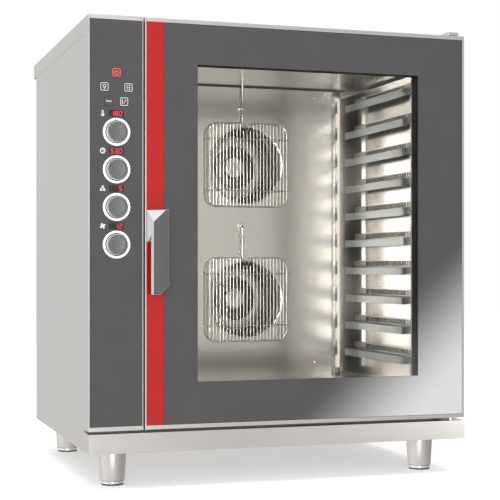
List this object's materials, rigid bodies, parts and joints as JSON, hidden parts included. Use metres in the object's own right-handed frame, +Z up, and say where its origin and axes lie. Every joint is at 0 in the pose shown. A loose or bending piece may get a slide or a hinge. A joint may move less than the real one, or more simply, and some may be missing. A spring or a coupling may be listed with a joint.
{
  "type": "combi steamer oven",
  "caption": "Upright combi steamer oven with a side-hinged glass door, dial control column, two fans, tray racks and levelling feet.",
  "frame": {"origin": "on the floor under the middle of the whole oven's box", "axes": "+Z up, -Y towards the user who faces the door, +X to the user's right"},
  "size_m": [0.93, 0.822, 1.092],
  "materials": {
    "stainless_brushed": "brushed",
    "stainless_bright": "bright rolled",
    "glass_printed_grey": "printed on the back, glossy front",
    "glass_clear": "clear",
    "trim_red": "satin red",
    "rubber_black": "matte",
    "plastic_grey": "satin",
    "display_black": "glossy",
    "board_green": "matte",
    "zinc_plate": "zinc plated"
  },
  "bodies": {
    "oven": {"back_panel": "stainless_brushed", "base_tray": "stainless_brushed", "cable_gland": "plastic_grey", "cavity_lamp": "glass_clear", "cavity_liner": "stainless_bright", "control_board": "board_green", "control_fascia": "stainless_brushed", "control_glass": "glass_printed_grey", "display_fan": "display_black", "display_steam": "display_black", "display_temperature": "display_black", "display_time": "display_black", "door_gasket": "rubber_black", "drain_pipe": "stainless_bright", "drain_strainer": "stainless_bright", "exhaust_vent": "stainless_brushed", "fan_baffle": "stainless_bright", "fan_guard_lower": "stainless_bright", "fan_guard_upper": "stainless_bright", "fan_motor_lower": "zinc_plate", "fan_motor_upper": "zinc_plate", "foot_sleeve_fl": "stainless_brushed", "foot_sleeve_fr": "stainless_brushed", "foot_sleeve_rl": "stainless_brushed", "foot_sleeve_rr": "stainless_brushed", "front_frame": "stainless_brushed", "heater_lower": "zinc_plate", "heater_upper": "zinc_plate", "hinge_lower": "stainless_brushed", "hinge_upper": "stainless_brushed", "latch_keeper": "zinc_plate", "left_side_panel": "stainless_brushed", "rack_left": "stainless_bright", "rack_right": "stainless_bright", "right_side_panel": "stainless_brushed", "top_cover": "stainless_brushed", "water_inlet": "zinc_plate", "water_pipe_lower": "stainless_bright", "water_pipe_upper": "stainless_bright"},
    "door": {"door_frame": "stainless_brushed", "door_stripe": "trim_red", "door_outer_glass": "glass_printed_grey", "door_inner_glass": "glass_clear", "door_window_seal": "rubber_black"},
    "handle": {"door_handle": "stainless_brushed"},
    "fan_wheel_upper": {"fan_wheel_upper": "stainless_bright"},
    "fan_wheel_lower": {"fan_wheel_lower": "stainless_bright"},
    "knob_temperature": {"knob_temperature": "plastic_grey"},
    "knob_time": {"knob_time": "plastic_grey"},
    "knob_steam": {"knob_steam": "plastic_grey"},
    "knob_fan": {"knob_fan": "plastic_grey"},
    "key_power": {"key_power": "plastic_grey"},
    "key_lamp": {"key_lamp": "plastic_grey"},
    "key_programme": {"key_programme": "plastic_grey"},
    "key_steam_shot": {"key_steam_shot": "plastic_grey"},
    "key_vent": {"key_vent": "plastic_grey"},
    "foot_fl": {"foot_fl": "stainless_bright"},
    "foot_fr": {"foot_fr": "stainless_bright"},
    "foot_rl": {"foot_rl": "stainless_bright"},
    "foot_rr": {"foot_rr": "stainless_bright"}
  },
  "joints": [
    {"name": "door_swing", "type": "hinge", "parent": "oven", "child": "door", "pos_m": [0.4335, -0.368, 0.584], "axis": [0, 0, 1], "range_deg": [0, 110]},
    {"name": "handle_turn", "type": "hinge", "parent": "door", "child": "handle", "pos_m": [-0.31035, -0.383, 0.5945], "axis": [0, -1, 0], "range_deg": [0, 75]},
    {"name": "fan_upper_spin", "type": "hinge", "parent": "oven", "child": "fan_wheel_upper", "pos_m": [0.064, 0.255, 0.77952], "axis": [0, 1, 0], "continuous": true},
    {"name": "fan_lower_spin", "type": "hinge", "parent": "oven", "child": "fan_wheel_lower", "pos_m": [0.064, 0.255, 0.41498], "axis": [0, 1, 0], "continuous": true},
    {"name": "knob_temperature_turn", "type": "hinge", "parent": "oven", "child": "knob_temperature", "pos_m": [-0.4025, -0.383, 0.8051], "axis": [0, -1, 0], "continuous": true},
    {"name": "knob_time_turn", "type": "hinge", "parent": "oven", "child": "knob_time", "pos_m": [-0.4025, -0.383, 0.721], "axis": [0, -1, 0], "continuous": true},
    {"name": "knob_steam_turn", "type": "hinge", "parent": "oven", "child": "knob_steam", "pos_m": [-0.4025, -0.383, 0.6369], "axis": [0, -1, 0], "continuous": true},
    {"name": "knob_fan_turn", "type": "hinge", "parent": "oven", "child": "knob_fan", "pos_m": [-0.4025, -0.383, 0.5528], "axis": [0, -1, 0], "continuous": true},
    {"name": "key_power_press", "type": "slide", "parent": "oven", "child": "key_power", "axis": [0, 1, 0], "range_m": [0, 0.0012], "stiffness_N_per_m": 600},
    {"name": "key_lamp_press", "type": "slide", "parent": "oven", "child": "key_lamp", "axis": [0, 1, 0], "range_m": [0, 0.0012], "stiffness_N_per_m": 600},
    {"name": "key_programme_press", "type": "slide", "parent": "oven", "child": "key_programme", "axis": [0, 1, 0], "range_m": [0, 0.0012], "stiffness_N_per_m": 600},
    {"name": "key_steam_shot_press", "type": "slide", "parent": "oven", "child": "key_steam_shot", "axis": [0, 1, 0], "range_m": [0, 0.0012], "stiffness_N_per_m": 600},
    {"name": "key_vent_press", "type": "slide", "parent": "oven", "child": "key_vent", "axis": [0, 1, 0], "range_m": [0, 0.0012], "stiffness_N_per_m": 600},
    {"name": "foot_fl_level", "type": "slide", "parent": "oven", "child": "foot_fl", "axis": [0, 0, -1], "range_m": [0, 0.025]},
    {"name": "foot_fr_level", "type": "slide", "parent": "oven", "child": "foot_fr", "axis": [0, 0, -1], "range_m": [0, 0.025]},
    {"name": "foot_rl_level", "type": "slide", "parent": "oven", "child": "foot_rl", "axis": [0, 0, -1], "range_m": [0, 0.025]},
    {"name": "foot_rr_level", "type": "slide", "parent": "oven", "child": "foot_rr", "axis": [0, 0, -1], "range_m": [0, 0.025]}
  ]
}
